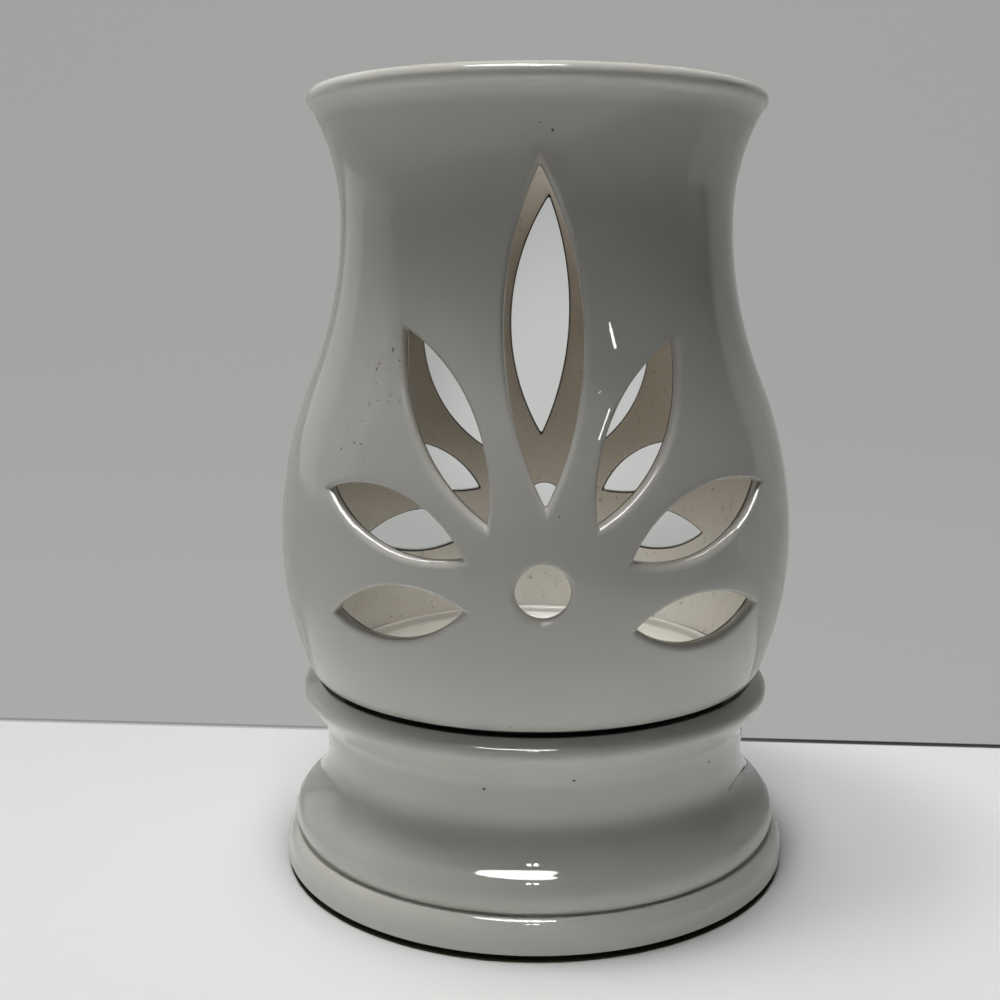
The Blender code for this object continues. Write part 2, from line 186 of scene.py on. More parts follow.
def cloud(tree, place, scale, detail=2.0, roughness=0.5, distortion=0.0):
    return addNode(tree, "TexNoise", {"Vector": place, "Scale": scale, "Detail": detail,
                                      "Roughness": roughness, "Distortion": distortion}).outputs[0]


def raised(tree, height, distance, before=None):
    values = {"Height": height, "Distance": distance, "Strength": 1.0}
    if before is not None:
        values["Normal"] = before
    return addNode(tree, "Bump", values).outputs[0]


# Glaze

glazeLook = {
    "shadeOutside": (0.655, 0.640, 0.592, 1.0),
    "shadeDeep": (0.622, 0.607, 0.558, 1.0),
    "neckShadeOver": 0.72,        # painted shade: the outside is written greyer towards the neck
    "neckShadeFrom": 0.055,
    "neckShadeTo": 0.150,
    "rimLightOver": 1.35,         # painted light on the rim's top, which faces up
    "rimLightFrom": 0.2125,
    "rimLightTo": 0.2165,
    "baseOutside": (0.680, 0.666, 0.618, 1.0),
    "baseDeep": (0.645, 0.631, 0.581, 1.0),
    "shoulderShadeOver": 0.84,    # painted shade on the shoulder of the base
    "shoulderShadeBelow": (0.0130, 0.0190),
    "shoulderShadeAbove": (0.0350, 0.0290),
    # inside and outside are one glaze: the inside is written lighter, painted light in the hollow
    "inside": (0.840, 0.812, 0.752, 1.0),
    "insideDeep": (0.800, 0.765, 0.695, 1.0),
    "upperInsideShade": (0.480, 0.432, 0.362, 1.0),      # painted shade: the inside higher up, darker where less light reaches it
    "insideShadeLeft": 0.74,       # painted shade on the left of the inside, painted light on its right
    "insideLightRight": 1.28,
    "insideSideReach": 0.045,
    "upperShadeFrom": 0.072,
    "upperShadeTo": 0.135,
    "cloudScale": 16.0,      # slow cloudiness outside
    "cloudBand": (0.35, 0.65),
    "marbleScale": 22.0,     # slower swirls inside
    "marbleBend": 1.2,
    "marbleBand": (0.42, 0.62),
    "insideFrom": 0.30,      # share of the wall's depth at which the inside's colour begins
    "insideTo": 0.75,
    "innerEdgeBand": (0.15, 0.85),
    "gapHeight": (0.0583, 0.0580),             # painted shade in the gap between shade and seat
    "gapDepth": (0.10, 0.14),
    "seatInner": (0.0612, 0.0618),
    "seatOuter": (0.0652, 0.0646),
    "seatHeight": (0.0550, 0.0558),
    "ringEdge": (0.0606, 0.0602),
    "ringShadeAside": (0.013, 0.028),
    "stainScale": 120.0,
    "stainBand": (0.40, 0.62),
    "speckScale": 620.0,
    "speckBand": (0.66, 0.71),
    "speckShare": 0.75,
    "dustScale": 420.0,
    "dustBand": (0.61, 0.69),
    "dustShare": 0.60,
    "pitScale": 170.0,       # scattered pinholes: one cell in a few dozen has one
    "pitChosen": (0.965, 0.975),
    "pitBand": (0.055, 0.030),
    "pitShare": 0.6,
    "pitDepth": 0.00015,
    # the seat plate is written lighter than the base's outside, painted light in the hollow
    "well": (0.820, 0.810, 0.775, 1.0),
    "pinhole": (0.060, 0.052, 0.042, 1.0),
    "stain": (0.330, 0.285, 0.215, 1.0),
    "dust": (0.300, 0.275, 0.225, 1.0),
    # painted shade on the sides of the seat ring
    "ringShadedSides": (0.640, 0.615, 0.560, 1.0),
    # a near-black line painted along the inner edge of each cut
    "innerEdgeDark": (0.022, 0.018, 0.013, 1.0),
    # painted reflection of a dark line
    "reflectedLine": (0.030, 0.026, 0.020, 1.0),
    # painted shadow for the gap between shade and base
    "gapShadow": (0.012, 0.010, 0.008, 1.0),
    "roughness": 0.025,
    "roughnessSwing": 0.03,
    "roughnessScale": 45.0,
    "waveScale": 30.0,
    "waveHeight": 0.00010,
    "peelScale": 420.0,
    "peelHeight": 0.000006,
    "ior": 1.52,
}

# places on the outside where the glaze is stained: centre, reach and strength
glazeStains = (
    ((0.0010, -0.0570, 0.2010), 0.010, 0.45),
    ((-0.0370, -0.0520, 0.1560), 0.016, 0.30),
)
# places on the outside that are peppered with fine dark specks: centre and reach
glazeSpecks = (
    ((-0.0360, -0.0520, 0.1467), 0.0120),
    ((-0.0465, -0.0517, 0.1296), 0.0090),
    ((-0.0300, -0.0550, 0.1540), 0.0100),
)
# pinholes that show as dark dots: centre and radius
glazePinholes = (
    ((0.0038, -0.0583, 0.2067), 0.00042),
    ((-0.0111, -0.0582, 0.1606), 0.00034),
    ((-0.0389, -0.0505, 0.1414), 0.00034),
    ((-0.0249, -0.0635, 0.0560), 0.00050),
    ((0.0103, -0.0625, 0.0443), 0.00070),
    ((-0.0130, -0.0614, 0.0412), 0.00050),
    ((0.0480, -0.0403, 0.0407), 0.00048),
    ((0.0575, -0.0240, 0.0353), 0.00040),
    ((0.0007, -0.0590, 0.2084), 0.00022),
)
# drips and beads of glaze that catch the light: the way their bright face looks, half width, points
glazeBeads = (
    ((-0.123, -0.798, 0.590), 0.0004, (0.0181, -0.0559, 0.1608), (0.0185, -0.0563, 0.1591)),
    ((-0.123, -0.798, 0.590), 0.0006, (0.0185, -0.0563, 0.1591), (0.0195, -0.0572, 0.1550)),
    ((-0.123, -0.798, 0.590), 0.0003, (0.0180, -0.0634, 0.1402), (0.0154, -0.0666, 0.1333)),
    ((-0.123, -0.798, 0.590), 0.00014, (0.0174, -0.0618, 0.1457), (0.0141, -0.0628, 0.1430)),
    ((0.088, -0.743, 0.664), 0.00045, (-0.0528, -0.0481, 0.1172), (-0.0501, -0.0521, 0.1133),
     (-0.0462, -0.0561, 0.1097), (-0.0416, -0.0594, 0.1070)),
    ((0.054, -0.729, 0.682), 0.00040, (-0.0416, -0.0594, 0.1070), (-0.0371, -0.0627, 0.1049),
     (-0.0318, -0.0657, 0.1035)),
    ((0.026, -0.723, 0.690), 0.00022, (-0.0318, -0.0657, 0.1035), (-0.0267, -0.0678, 0.1030),
     (-0.0216, -0.0694, 0.1033)),
    ((-0.215, -0.740, 0.638), 0.00036, (0.0585, -0.0418, 0.1168), (0.0570, -0.0446, 0.1141),
     (0.0549, -0.0479, 0.1112), (0.0521, -0.0511, 0.1085)),
    ((-0.180, -0.724, 0.667), 0.00020, (0.0513, -0.0518, 0.1080), (0.0471, -0.0550, 0.1056),
     (0.0424, -0.0591, 0.1034), (0.0379, -0.0620, 0.1023)),
)
# a painted reflection of a dark line on the base: two lines of points, each with its half width
glazeReflectedLines = (
    (0.00050, (0.0658, 0.0042, 0.0234), (0.0651, -0.0036, 0.0242), (0.0638, -0.0069, 0.0257),
     (0.0624, -0.0110, 0.0274), (0.0605, -0.0172, 0.0286)),
    (0.00036, (0.0605, -0.0172, 0.0286), (0.0585, -0.0226, 0.0293), (0.0567, -0.0269, 0.0290),
     (0.0550, -0.0305, 0.0285)),
)


def toPoint(tree, place, centre):
    return addNode(tree, "VectorMath", {0: place, 1: centre}, operation="DISTANCE").outputs["Value"]


def scaled(tree, vector, share):
    return addNode(tree, "VectorMath", {0: vector, "Scale": share}, operation="SCALE").outputs[0]


def toSegment(tree, place, first, last):
    # distance from a straight line between two points
    run = Vector(last) - Vector(first)
    offset = addNode(tree, "VectorMath", {0: place, 1: first}, operation="SUBTRACT").outputs[0]
    along = addNode(tree, "VectorMath", {0: offset, 1: run / run.length_squared}, operation="DOT_PRODUCT")
    share = addNode(tree, "Clamp", {"Value": along.outputs["Value"]}).outputs[0]
    return toPoint(tree, offset, scaled(tree, run, share))


def alongLine(tree, place, points, half, core):
    # 1 on a line through the points, falling to 0 at its half width
    line = 0.0
    for first, last in zip(points, points[1:]):
        near = fade(tree, toSegment(tree, place, first, last), half, core * half)
        line = calculate(tree, "MAXIMUM", line, near)
    return line


def shadeColour(tree, place, upward, colour):
    look = glazeLook
    # painted shade towards the neck and painted light on the rim's top
    grey = fade(tree, upward, look["neckShadeFrom"], look["neckShadeTo"], 1.0, look["neckShadeOver"])
    rim = fade(tree, upward, look["rimLightFrom"], look["rimLightTo"], 1.0, look["rimLightOver"])
    colour = scaled(tree, colour, calculate(tree, "MULTIPLY", grey, rim))
    # inside: warm, with painted shade higher up and on the left and painted light on the right, with dust on it
    depth = addNode(tree, "Attribute", attribute_name="wallDepth").outputs["Fac"]
    marble = cloud(tree, place, look["marbleScale"], 3.0, 0.5, look["marbleBend"])
    warm = mixColours(tree, fade(tree, marble, *look["marbleBand"]), look["insideDeep"], look["inside"])
    across = addNode(tree, "SeparateXYZ", {0: place}).outputs["X"]
    insideSideLight = fade(tree, across, -look["insideSideReach"], look["insideSideReach"],
                   look["insideShadeLeft"], look["insideLightRight"])
    upperShade = scaled(tree, look["upperInsideShade"][:3], insideSideLight)
    warm = mixColours(tree, fade(tree, upward, look["upperShadeFrom"], look["upperShadeTo"]), warm, upperShade)
    grains = cloud(tree, place, look["dustScale"], 3.0, 0.7)
    warm = mixColours(tree, fade(tree, grains, *look["dustBand"], 0.0, look["dustShare"]), warm, look["dust"])
    colour = mixColours(tree, fade(tree, depth, look["insideFrom"], look["insideTo"]), colour, warm)
    # a near-black line painted where a leaf's edge meets the inside, and painted shadow in the gap over the
    # seat
    innerEdgeDark = addNode(tree, "Attribute", attribute_name="innerEdgeLine").outputs["Fac"]
    colour = mixColours(tree, fade(tree, innerEdgeDark, *look["innerEdgeBand"]), colour, look["innerEdgeDark"])
    inGap = calculate(tree, "MULTIPLY", fade(tree, upward, *look["gapHeight"]),
                      fade(tree, depth, *look["gapDepth"]))
    colour = mixColours(tree, inGap, colour, look["gapShadow"])
    # stains and peppered places outside
    for centre, reach, strength in glazeStains:
        near = fade(tree, toPoint(tree, place, centre), reach, 0.0, 0.0, strength)
        patches = fade(tree, cloud(tree, place, look["stainScale"], 4.0), *look["stainBand"])
        colour = mixColours(tree, calculate(tree, "MULTIPLY", near, patches), colour, look["stain"])
    fine = fade(tree, cloud(tree, place, look["speckScale"], 2.0), *look["speckBand"],
                0.0, look["speckShare"])
    for centre, reach in glazeSpecks:
        near = fade(tree, toPoint(tree, place, centre), reach, 0.6 * reach)
        colour = mixColours(tree, calculate(tree, "MULTIPLY", near, fine), colour, look["pinhole"])
    return colour


def baseColour(tree, place, upward, colour):
    look = glazeLook
    parts = addNode(tree, "SeparateXYZ", {0: place}).outputs
    flat = addNode(tree, "CombineXYZ", {0: parts["X"], 1: parts["Y"], 2: 0.0}).outputs[0]
    out = addNode(tree, "VectorMath", {0: flat}, operation="LENGTH").outputs["Value"]
    # painted shade on the base's shoulder
    shoulderShade = calculate(tree, "MULTIPLY", fade(tree, upward, *look["shoulderShadeBelow"]),
                     fade(tree, upward, *look["shoulderShadeAbove"]))
    colour = scaled(tree, colour, calculate(tree, "MULTIPLY_ADD", shoulderShade, look["shoulderShadeOver"] - 1.0, 1.0))
    # the seat plate inside the shade, whose ring has painted shade at the sides
    aside = fade(tree, calculate(tree, "ABSOLUTE", parts["X"]), *look["ringShadeAside"])
    ring = mixColours(tree, aside, look["well"], look["ringShadedSides"])
    colour = mixColours(tree, fade(tree, out, *look["ringEdge"]), colour, ring)
    # painted shadow on the seat under the shade's foot, where the gap between shade and base is dark
    onSeat = calculate(tree, "MULTIPLY", fade(tree, out, *look["seatInner"]),
                       fade(tree, out, *look["seatOuter"]))
    onSeat = calculate(tree, "MULTIPLY", onSeat, fade(tree, upward, *look["seatHeight"]))
    colour = mixColours(tree, onSeat, colour, look["gapShadow"])
    # a painted reflection of a dark line
    for half, *points in glazeReflectedLines:
        colour = mixColours(tree, alongLine(tree, place, points, half, 0.4), colour, look["reflectedLine"])
    return colour


def glazeMaterial(name, pierced):
    look = glazeLook
    material, tree, shader, place = newMaterial(name)
    upward = heightOf(tree, place)
    kind = "shade" if pierced else "base"
    clouds = fade(tree, cloud(tree, place, look["cloudScale"], 3.0), *look["cloudBand"])
    colour = mixColours(tree, clouds, look[kind + "Deep"], look[kind + "Outside"])
    colour = (shadeColour if pierced else baseColour)(tree, place, upward, colour)
    # pinholes: scattered ones, and those that the photograph shows
    cells = addNode(tree, "TexVoronoi", {"Vector": place, "Scale": look["pitScale"], "Randomness": 1.0}).outputs
    chance = addNode(tree, "SeparateColor", {0: cells["Color"]}).outputs[0]
    pit = fade(tree, cells["Distance"], *look["pitBand"], 0.0, look["pitShare"])
    dot = calculate(tree, "MULTIPLY", fade(tree, chance, *look["pitChosen"]), pit)
    for centre, reach in glazePinholes:
        near = fade(tree, toPoint(tree, place, centre), reach, 0.4 * reach)
        dot = calculate(tree, "MAXIMUM", dot, near)
    worn = cloud(tree, place, look["roughnessScale"], 4.0)
    normal = raised(tree, cloud(tree, place, look["waveScale"], 1.0), look["waveHeight"])
    normal = raised(tree, cloud(tree, place, look["peelScale"], 2.0), look["peelHeight"], normal)
    normal = raised(tree, calculate(tree, "MULTIPLY", dot, -1.0), look["pitDepth"], normal)
    if pierced:
        for face, half, *points in glazeBeads:
            bead = alongLine(tree, place, points, half, 0.5)
            normal = addNode(tree, "Mix", {0: bead, 4: normal, 5: face}, data_type="VECTOR").outputs[1]
        normal = addNode(tree, "VectorMath", {0: normal}, operation="NORMALIZE").outputs[0]
    setInputs(tree, shader, {
        "Base Color": mixColours(tree, dot, colour, look["pinhole"]),
        "Roughness": calculate(tree, "MULTIPLY_ADD", worn, look["roughnessSwing"], look["roughness"]),
        "Normal": normal,
        "IOR": look["ior"],
    })
    return material


# Shade: the wall is laid out flat, pierced, divided and bent round

shadeForm = {
    "wall": 0.0048,
    "footRadius": 0.0655,
    "footHeight": 0.0029,
    "footRound": 0.0007,
    "rebateHeight": 0.0014,  # the foot stands on its inner ring, so a dark gap runs round outside it
    "rebateRadius": 0.0625,
    "boreRound": 0.0006,
    "bellyRadius": 0.0742,
    "bellyHeight": 0.0399,
    "bellyLowerCurve": 0.0966,
    "bellyUpperCurve": 0.1186,
    "neckRadius": 0.0556,
    "neckHeight": 0.1316,
    "flareCurve": 0.0604,
    "lipBead": 0.0003,
    "rimInset": 0.0006,
    "rimWrap": 35.0,
    "rimBlend": 0.0010,
    "rimSteps": 20,
    "layoutRadius": 0.065,   # radius at which the flat layout keeps its width
    "firstDegree": -270.0,   # the layout begins and ends on the right side, clear of the leaves
    "columns": 192,
    "rows": 80,
    "cutOver": 0.003,        # how far the cutters run past both faces of the wall
    "edgeDepth": 0.0017,     # depth of the rounded edge on the outside
    "insideEdge": 0.0008,
    "leafSteps": 38,
    "tipRound": 0.0005,
    "tipSteps": 6,
    "holeSteps": 72,
    "sideAim": 11.0,
}

# side, first tip, second tip (degrees round, height over the foot), two bulges, two roundings:
# the crown, then upper, middle and lower, left before right
frontLeaves = (
    (0, (0.7, 0.1425), (2.0, 0.0596), 0.0104, 0.0097, 0.0016, 0.0014),
    (-1, (-34.2, 0.1024), (-9.3, 0.0554), 0.0082, 0.0069, 0.0012, 0.0019),
    (1, (35.8, 0.0997), (12.2, 0.0554), 0.0077, 0.0076, 0.0012, 0.0019),
    (-1, (-47.5, 0.0611), (-13.9, 0.0473), 0.0083, 0.0060, 0.0012, 0.0019),
    (1, (55.0, 0.0619), (19.0, 0.0466), 0.0086, 0.0072, 0.0012, 0.0019),
    (-1, (-44.9, 0.0292), (-13.9, 0.0343), 0.0072, 0.0071, 0.0012, 0.0019),
    (1, (51.7, 0.0305), (20.2, 0.0292), 0.0066, 0.0070, 0.0012, 0.0019),
)
backLeaves = (
    (0, (-4.1, 0.1407), (-1.6, 0.0611), 0.0112, 0.0078, 0.0014, 0.0016),
    (-1, (-38.0, 0.1008), (-15.0, 0.0555), 0.0076, 0.0070, 0.0012, 0.0019),
    (1, (38.5, 0.1012), (12.5, 0.0552), 0.0076, 0.0070, 0.0012, 0.0019),
    (-1, (-52.0, 0.0600), (-19.1, 0.0418), 0.0078, 0.0062, 0.0012, 0.0019),
    (1, (50.5, 0.0590), (15.8, 0.0421), 0.0078, 0.0062, 0.0012, 0.0019),
    (-1, (-49.4, 0.0315), (-18.6, 0.0298), 0.0064, 0.0072, 0.0012, 0.0019),
    (1, (50.4, 0.0302), (16.2, 0.0292), 0.0064, 0.0074, 0.0012, 0.0019),
)
roundHole = {"radius": 0.0069, "front": (1.5, 0.0393), "back": (-2.5, 0.0366), "edge": 0.0015}


def shadeRadius(height):
    form = shadeForm
    spread = form["bellyRadius"] - form["neckRadius"]
    rise = form["neckHeight"] - form["bellyHeight"]
    bothCurves = (spread * spread + rise * rise) / (2.0 * spread)
    turning = form["bellyHeight"] + rise * form["bellyUpperCurve"] / bothCurves
    if height < turning:
        curve = form["bellyLowerCurve"] if height < form["bellyHeight"] else form["bellyUpperCurve"]
        drop = height - form["bellyHeight"]
        return form["bellyRadius"] - curve + math.sqrt(curve ** 2 - drop ** 2)
    neckCurve = bothCurves - form["bellyUpperCurve"]
    curve = neckCurve if height < form["neckHeight"] else form["flareCurve"]
    drop = height - form["neckHeight"]
    return form["neckRadius"] + curve - math.sqrt(curve ** 2 - drop ** 2)


def wallSlope(height):
    step = 0.00005
    return (shadeRadius(height + step) - shadeRadius(height - step)) / (2.0 * step)


def radiusAtDepth(height, depth):
    return shadeRadius(height) - depth * math.hypot(1.0, wallSlope(height))


def shadeSection(shadeHeight):
    # the wall's cross-section as (depth from the outer face, height over the foot)
    form = shadeForm
    wall = form["wall"]
    rimRound = 0.5 * wall + form["lipBead"]
    rimHeight = shadeHeight - rimRound
    slope = wallSlope(rimHeight)
    middle = shadeRadius(rimHeight) - 0.5 * wall / math.hypot(1.0, slope)
    lean = math.degrees(math.asin((rimHeight - form["neckHeight"]) / form["flareCurve"]))
    rim = arcPoints((middle - form["rimInset"], rimHeight), rimRound,
                    180.0 + form["rimWrap"] - lean, -form["rimWrap"] - lean, form["rimSteps"])
    high = rim[-1][1] - form["rimBlend"]
    low = form["footHeight"]
    foot = roundedProfile((
        (shadeRadius(low), low, 0.0),
        (form["footRadius"] + 0.0001, form["rebateHeight"], form["footRound"]),
        (form["rebateRadius"], form["rebateHeight"], 0.0),
        (form["rebateRadius"] - 0.0003, 0.0, 0.0003),
        (form["footRadius"] - wall, 0.0, form["boreRound"]),
        (radiusAtDepth(low, wall), low, 0.0),
    ), 5)
    section = []
    for radius, height in rim:
        section.append(((shadeRadius(height) - radius) / math.hypot(1.0, wallSlope(height)), height))
    section.append((0.0, high))
    section.append((0.0, low))
    for radius, height in foot[1:-1]:
        section.append(((shadeRadius(height) - radius) / math.hypot(1.0, wallSlope(height)), height))
    section.append((wall, low))
    section.append((wall, high))
    return section


def flatWall(section):
    form = shadeForm
    start = math.radians(form["firstDegree"]) * form["layoutRadius"]
    build = bmesh.new()
    verts = [build.verts.new((start, depth, height)) for depth, height in section]
    end = build.faces.new(verts)
    pushed = bmesh.ops.extrude_face_region(build, geom=[end])
    moved = [item for item in pushed["geom"] if isinstance(item, bmesh.types.BMVert)]
    bmesh.ops.translate(build, verts=moved, vec=(2.0 * math.pi * form["layoutRadius"], 0.0, 0.0))
    bmesh.ops.recalc_face_normals(build, faces=build.faces)
    return build


def cutterLayers(depth):
    # (depth into the wall, share of the outer rounding, share of the inner rounding)
    form = shadeForm
    wall = form["wall"]
    layers = [(-form["cutOver"], 1.0, 0.0)]
    for step in range(7):
        angle = math.radians(90.0 * step / 6)
        layers.append((depth * (1.0 - math.cos(angle)), 1.0 - math.sin(angle), 0.0))
    layers.append((0.5 * (depth + wall - form["insideEdge"]), 0.0, 0.0))
    for step in range(5):
        angle = math.radians(90.0 * (4 - step) / 4)
        layers.append((wall - form["insideEdge"] * (1.0 - math.cos(angle)), 0.0, 1.0 - math.sin(angle)))
    layers.append((wall + form["cutOver"], 0.0, 1.0))
    return layers


def tipCentre(first, second, side):
    # where two circles of (centre, radius) meet, on the given side of the line between their centres
    between = second[0] - first[0]
    reach = (first[1] ** 2 - second[1] ** 2 + between.length_squared) / (2.0 * between.length)
    half = math.sqrt(first[1] ** 2 - reach ** 2)
    across = Vector((-between.y, between.x)).normalized()
    return first[0] + between.normalized() * reach + across * half * side


def leafOutline(leaf, outer, inner):
    # points round a leaf in the plane that faces the knife, each edge moved out by its rounding
    side, firstTip, secondTip, upperBulge, lowerBulge, upperRound, lowerRound = leaf
    aim = side * shadeForm["sideAim"]
    tips = [Vector((shadeRadius(height) * math.sin(math.radians(degrees - aim)), height))
            for degrees, height in (firstTip, secondTip)]
    tips.sort(key=lambda tip: tip.x)
    chord = tips[1] - tips[0]
    length = chord.length
    above = Vector((-chord.y, chord.x)) / length
    middle = 0.5 * (tips[0] + tips[1])
    circles = []
    for bulge, rounding, way in ((upperBulge, upperRound, 1.0), (lowerBulge, lowerRound, -1.0)):
        radius = length / (2.0 * math.sin(2.0 * math.atan(2.0 * bulge / length)))
        grown = radius + outer * rounding + inner * shadeForm["insideEdge"]
        circles.append((middle - above * (radius - bulge) * way, grown))
    small = shadeForm["tipRound"]
    shrunk = [(centre, radius - small) for centre, radius in circles]
    tipCentres = [tipCentre(shrunk[0], shrunk[1], side) for side in (-1.0, 1.0)]
    tipCentres.sort(key=lambda tip: (tip - middle).dot(chord))
    points = []
    for (centre, radius), (startTip, endTip) in zip(circles, (tipCentres, tipCentres[::-1])):
        first = (startTip - centre).normalized()
        last = (endTip - centre).normalized()
        angle = math.atan2(first.y, first.x)
        sweep = last.angle_signed(first)
        for step in range(shadeForm["leafSteps"]):
            turn = angle + sweep * step / shadeForm["leafSteps"]
            points.append((centre.x + radius * math.cos(turn), centre.y + radius * math.sin(turn)))
        other = circles[1][0] if centre is circles[0][0] else circles[0][0]
        onward = (endTip - other).normalized()
        angle = math.atan2(last.y, last.x)
        sweep = onward.angle_signed(last)
        for step in range(shadeForm["tipSteps"]):
            turn = angle + sweep * step / shadeForm["tipSteps"]
            points.append((endTip.x + small * math.cos(turn), endTip.y + small * math.sin(turn)))
    return points


def holeOutline(degrees, height, outer, inner):
    across = shadeRadius(height) * math.sin(math.radians(degrees))
    radius = roundHole["radius"] + outer * roundHole["edge"] + inner * shadeForm["insideEdge"]
    return arcPoints((across, height), radius, 0.0, 360.0, shadeForm["holeSteps"])[:-1]


def addCutter(build, outlineAt, turn):
    # rings of the outline at growing depth, bridged into one closed cutter
    rings = []
    for depth, outer, inner in cutterLayers(shadeForm["edgeDepth"]):
        verts = []
        for across, height in outlineAt(outer, inner):
            angle = math.radians(turn) + math.asin(across / radiusAtDepth(height, depth))
            verts.append(build.verts.new((angle * shadeForm["layoutRadius"], depth, height)))
        rings.append([build.edges.new(pair) for pair in zip(verts, verts[1:] + verts[:1])])
    for ring, following in zip(rings, rings[1:]):
        bmesh.ops.bridge_loops(build, edges=ring + following)
    for ring in (rings[0], rings[-1]):
        bmesh.ops.contextual_create(build, geom=ring)


def shadeCutters():
    build = bmesh.new()
    aim = shadeForm["sideAim"]
    for turn, leaves, hole in ((0.0, frontLeaves, "front"), (-180.0, backLeaves, "back")):
        for leaf in leaves:
            addCutter(build, lambda outer, inner: leafOutline(leaf, outer, inner), turn + leaf[0] * aim)
        addCutter(build, lambda outer, inner: holeOutline(*roundHole[hole], outer, inner), turn)
    bmesh.ops.recalc_face_normals(build, faces=build.faces)
    return build


def pierce(wall, cutters):
    pieces = []
    for name, build in (("flatWall", wall), ("leafCutters", cutters)):
        mesh = bpy.data.meshes.new(name)
        build.to_mesh(mesh)
        build.free()
        pieces.append(bpy.data.objects.new(name, mesh))
        scene.collection.objects.link(pieces[-1])
    cut = pieces[0].modifiers.new("pierce", "BOOLEAN")
    cut.operation = "DIFFERENCE"
    cut.solver = "EXACT"
    cut.object = pieces[1]
    bpy.context.view_layer.update()
    result = bpy.data.meshes.new_from_object(pieces[0].evaluated_get(bpy.context.evaluated_depsgraph_get()))
    build = bmesh.new()
    build.from_mesh(result)
    bpy.data.meshes.remove(result)
    for piece in pieces:
        mesh = piece.data
        bpy.data.objects.remove(piece)
        bpy.data.meshes.remove(mesh)
    bmesh.ops.remove_doubles(build, verts=build.verts, dist=0.0000005)
    return build


def divide(build, shadeHeight):
    # the flat faces are cut into columns and rows, so that they can follow the bend
    form = shadeForm
    width = 2.0 * math.pi * form["layoutRadius"]
    start = math.radians(form["firstDegree"]) * form["layoutRadius"]
    wide = [face for face in build.faces if face.calc_perimeter() > 0.02]
    working = wide + list({edge for face in wide for edge in face.edges})
    working += list({vert for face in wide for vert in face.verts})
    planes = [((start + width * column / form["columns"], 0.0, 0.0), (1.0, 0.0, 0.0))
              for column in range(1, form["columns"])]
    planes += [((0.0, 0.0, shadeHeight * row / form["rows"]), (0.0, 0.0, 1.0))
               for row in range(1, form["rows"])]
    for point, normal in planes:
        working = bmesh.ops.bisect_plane(build, geom=working, dist=0.00002, plane_co=point,
                                         plane_no=normal)["geom"]
    caps = [face for face in build.faces
            if abs(face.normal.x) > 0.999 and min(abs(face.calc_center_median().x - start),
                                                  abs(face.calc_center_median().x - start - width)) < 0.00001]
    bmesh.ops.delete(build, geom=caps, context="FACES")
    many = [face for face in build.faces if len(face.verts) > 4]
    bmesh.ops.triangulate(build, faces=many)


def bendRound(build, footHeight):
    form = shadeForm
    depthLayer = build.verts.layers.float.new("wallDepth")
    innerEdgeLayer = build.verts.layers.float.new("innerEdgeLine")
    start = math.radians(form["firstDegree"]) * form["layoutRadius"]
    width = 2.0 * math.pi * form["layoutRadius"]
    seam = []
    for vert in build.verts:
        across, depth, height = vert.co
        if min(across - start, start + width - across) < 0.00001:
            seam.append(vert)
        vert[depthLayer] = max(0.0, min(1.0, depth / form["wall"]))
        # the inner edge of each cut is marked for the painted dark line
        cut = any(abs(face.normal.y) < 0.995 for face in vert.link_faces)
        if cut and 0.006 < height < 0.155 and depth > form["wall"] - 1.05 * form["insideEdge"]:
            vert[innerEdgeLayer] = max(0.0, min(1.0, (form["wall"] - depth) / 0.0002))
        radius = radiusAtDepth(height, depth)
        angle = across / form["layoutRadius"]
        vert.co = (radius * math.sin(angle), -radius * math.cos(angle), height + footHeight)
    bmesh.ops.remove_doubles(build, verts=seam, dist=0.00001)
    bmesh.ops.recalc_face_normals(build, faces=build.faces)


def makeShade():
    low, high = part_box("shade")
    shadeHeight = high.z - low.z
    build = pierce(flatWall(shadeSection(shadeHeight)), shadeCutters())
    divide(build, shadeHeight)
    bendRound(build, low.z)
    finishPiece("shadeBody", build, glazeMaterial("shadeGlaze", True), "shade", "shade_glaze", "shade")


makeShade()

# Base

baseForm = {
    "footRadius": 0.0750,
    "footEdge": 0.0009,
    "flangeCentre": (0.0688, 0.0038),
    "flangeCurve": 0.0062,
    "flangeTurn": 58.0,
    "grooveRadius": 0.0709,
    "grooveHeight": 0.00895,
    "grooveRound": 0.0004,
    "torusCentre": (0.06666, 0.01322),
    "torusCurve": 0.0056,
    "torusTurn": 35.0,
    "torusEnd": -45.0,
    "shoulderCentre": (0.06183, 0.00984),
    "shoulderCurve": 0.0115,
    "shoulderTurn": 53.0,    # degrees that the steepest part of the shoulder faces up
    "waistRadius": 0.0617,
    "waistBottom": 0.0257,
    "waistTopRadius": 0.0629,
    "waistTop": 0.0418,
    "waistTopRound": 0.0080,
    "lipRadius": 0.0704,
    "lipHeight": 0.0516,
    "lipRound": 0.0027,
    "height": 0.0548,
    "wall": 0.0052,
    "hollowFoot": (0.0727, 0.0152),
    "hollowFootRound": 0.0030,
    "hollowWaistRound": 0.0163,
    "plate": 0.0050,
    "seatRadius": 0.0646,
    "ringRadius": 0.0603,
    "ringHeight": 0.0024,
    "ringWidth": 0.0034,
    "ringDraft": 0.0006,
    "wellRadius": 0.0212,
    "wellDepth": 0.0148,
    "wellWall": 0.0045,
    "turns": 224,
    "cornerSteps": 9,
}


